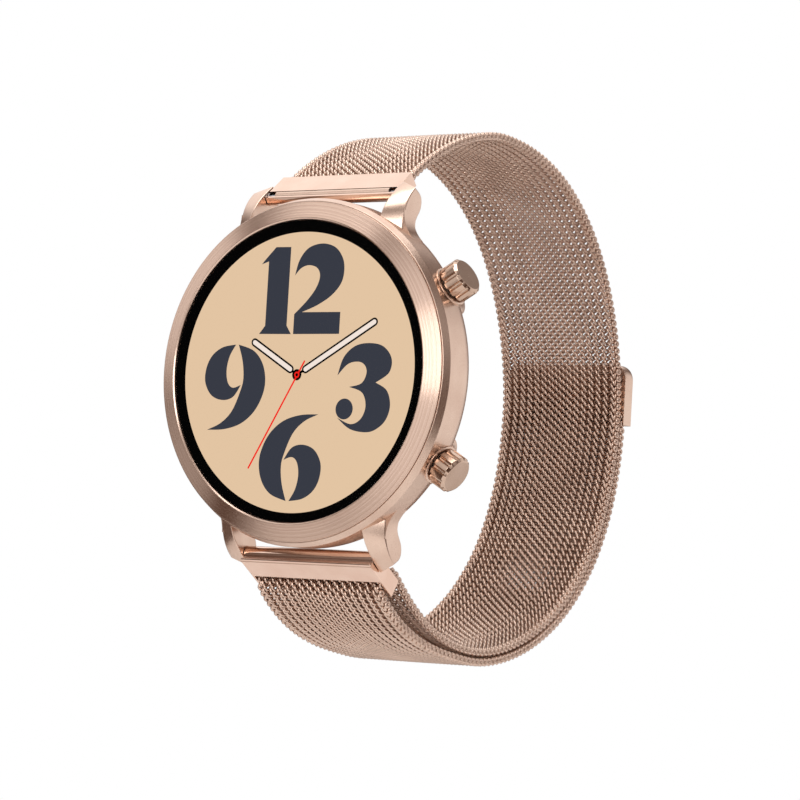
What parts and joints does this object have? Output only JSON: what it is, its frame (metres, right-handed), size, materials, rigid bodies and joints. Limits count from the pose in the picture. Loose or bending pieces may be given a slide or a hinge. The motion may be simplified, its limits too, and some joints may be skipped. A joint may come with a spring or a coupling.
{
  "type": "smartwatch",
  "caption": "Round smartwatch with a fluted pair of crowns, a numeral dial and a magnetic woven-steel loop strap.",
  "frame": {"origin": "centre of the flat sensor window on the case back", "axes": "+Y out of the case back towards the wrist, +Z to 12 o'clock, +X to 3 o'clock and the crowns"},
  "size_m": [0.0449, 0.0683, 0.0712],
  "materials": {
    "case_metal": "rose-gold plated steel, satin sides and fine circular brushing on the bezel",
    "polished_metal": "rose-gold plated steel, polished",
    "woven_mesh": "rose-gold plated woven steel wire",
    "steel": "plain turned or pressed steel",
    "brass": "gold-plated or sintered metal",
    "magnet": "nickel-plated magnet",
    "cover_glass": "toughened glass, polished",
    "screen": "lit display panel",
    "black_plastic": "fine matt black",
    "rubber": "matt black",
    "adhesive": "black double-sided tape",
    "circuit_board": "green solder mask",
    "foil": "dull metal"
  },
  "bodies": {
    "case": {"mid_case": "case_metal", "bezel": "case_metal", "cover_glass": "cover_glass", "glass_adhesive": "adhesive", "display_panel": "screen", "chassis_plate": "foil", "battery": "foil", "main_board": "circuit_board", "processor_shield": "steel", "motor_cup": "steel", "motor_cover": "steel", "speaker": "black_plastic", "rear_cover": "black_plastic", "rear_gasket": "rubber", "sensor_window": "cover_glass", "sensor_board": "circuit_board", "sensor_led": "screen", "charging_contact_left": "brass", "charging_contact_right": "brass", "rear_screw_1": "steel", "rear_screw_2": "steel", "rear_screw_3": "steel", "rear_screw_4": "steel", "upper_crown_tube": "steel", "upper_crown_seal": "rubber", "upper_crown_switch": "black_plastic", "upper_bar_tube": "steel", "upper_bar_spring": "steel", "lower_crown_tube": "steel", "lower_crown_seal": "rubber", "lower_crown_switch": "black_plastic", "lower_bar_tube": "steel", "lower_bar_spring": "steel"},
    "motor_rotor": {"motor_weight": "brass"},
    "upper_press": {"upper_crown_plunger": "black_plastic"},
    "upper_crown": {"upper_crown_knob": "case_metal", "upper_crown_stem": "steel", "upper_crown_clip": "steel"},
    "lower_press": {"lower_crown_plunger": "black_plastic"},
    "lower_crown": {"lower_crown_knob": "case_metal", "lower_crown_stem": "steel", "lower_crown_clip": "steel"},
    "upper_tip_left": {"upper_bar_tip_left": "steel"},
    "upper_tip_right": {"upper_bar_tip_right": "steel"},
    "lower_tip_left": {"lower_bar_tip_left": "steel"},
    "lower_tip_right": {"lower_bar_tip_right": "steel"},
    "upper_link": {"upper_end_piece": "polished_metal", "mesh_root": "woven_mesh"},
    "band": {"mesh_inner_layer": "woven_mesh", "mesh_fold": "woven_mesh"},
    "lower_link": {"lower_loop_frame": "polished_metal"},
    "tail": {"mesh_tail": "woven_mesh"},
    "clasp": {"mesh_tail_end": "woven_mesh", "clasp_housing": "case_metal", "clasp_cover": "woven_mesh", "clasp_magnet_1": "magnet", "clasp_magnet_2": "magnet", "clasp_magnet_3": "magnet"}
  },
  "joints": [
    {"name": "upper_crown_press", "type": "slide", "parent": "case", "child": "upper_press", "axis": [0.866, 0, 0.5], "range_m": [-0.00025, 0], "stiffness_N_per_m": 4000, "springref_m": 0.0002},
    {"name": "upper_crown_turn", "type": "hinge", "parent": "upper_press", "child": "upper_crown", "pos_m": [0, -0.005, 0], "axis": [0.866, 0, 0.5], "continuous": true},
    {"name": "lower_crown_press", "type": "slide", "parent": "case", "child": "lower_press", "axis": [0.866, 0, -0.5], "range_m": [-0.00025, 0], "stiffness_N_per_m": 4000, "springref_m": 0.0002},
    {"name": "lower_crown_turn", "type": "hinge", "parent": "lower_press", "child": "lower_crown", "pos_m": [0, -0.005, 0], "axis": [0.866, 0, -0.5], "continuous": true},
    {"name": "motor_spin", "type": "hinge", "parent": "case", "child": "motor_rotor", "pos_m": [-0.003, -0.0055, 0.014], "axis": [0, 1, 0], "continuous": true},
    {"name": "upper_tip_left_slide", "type": "slide", "parent": "case", "child": "upper_tip_left", "axis": [1, 0, 0], "range_m": [0, 0.001], "stiffness_N_per_m": 1500, "springref_m": -0.0005},
    {"name": "upper_tip_right_slide", "type": "slide", "parent": "case", "child": "upper_tip_right", "axis": [-1, 0, 0], "range_m": [0, 0.001], "stiffness_N_per_m": 1500, "springref_m": -0.0005},
    {"name": "lower_tip_left_slide", "type": "slide", "parent": "case", "child": "lower_tip_left", "axis": [1, 0, 0], "range_m": [0, 0.001], "stiffness_N_per_m": 1500, "springref_m": -0.0005},
    {"name": "lower_tip_right_slide", "type": "slide", "parent": "case", "child": "lower_tip_right", "axis": [-1, 0, 0], "range_m": [0, 0.001], "stiffness_N_per_m": 1500, "springref_m": -0.0005},
    {"name": "upper_strap_hinge", "type": "hinge", "parent": "case", "child": "upper_link", "pos_m": [0, -0.0043, 0.0232], "axis": [1, 0, 0], "range_deg": [-6, 6]},
    {"name": "band_flex", "type": "hinge", "parent": "upper_link", "child": "band", "pos_m": [0, -0.00039, 0.02608], "axis": [1, 0, 0], "range_deg": [-5.5, 5.5]},
    {"name": "lower_strap_hinge", "type": "hinge", "parent": "case", "child": "lower_link", "pos_m": [0, -0.0043, -0.0232], "axis": [1, 0, 0], "range_deg": [-6.3, 6.3]},
    {"name": "tail_peel", "type": "hinge", "parent": "band", "child": "tail", "pos_m": [0, 0.02188, -0.03615], "axis": [-1, 0, 0], "range_deg": [0, 40]},
    {"name": "clasp_peel", "type": "hinge", "parent": "tail", "child": "clasp", "pos_m": [0, 0.05193, -0.0192], "axis": [-1, 0, 0], "range_deg": [0, 45]}
  ],
  "couplings": [
    {"joint": "band_flex", "follows": "upper_strap_hinge", "ratio": -0.8837},
    {"joint": "lower_strap_hinge", "follows": "upper_strap_hinge", "ratio": 1.0235}
  ]
}
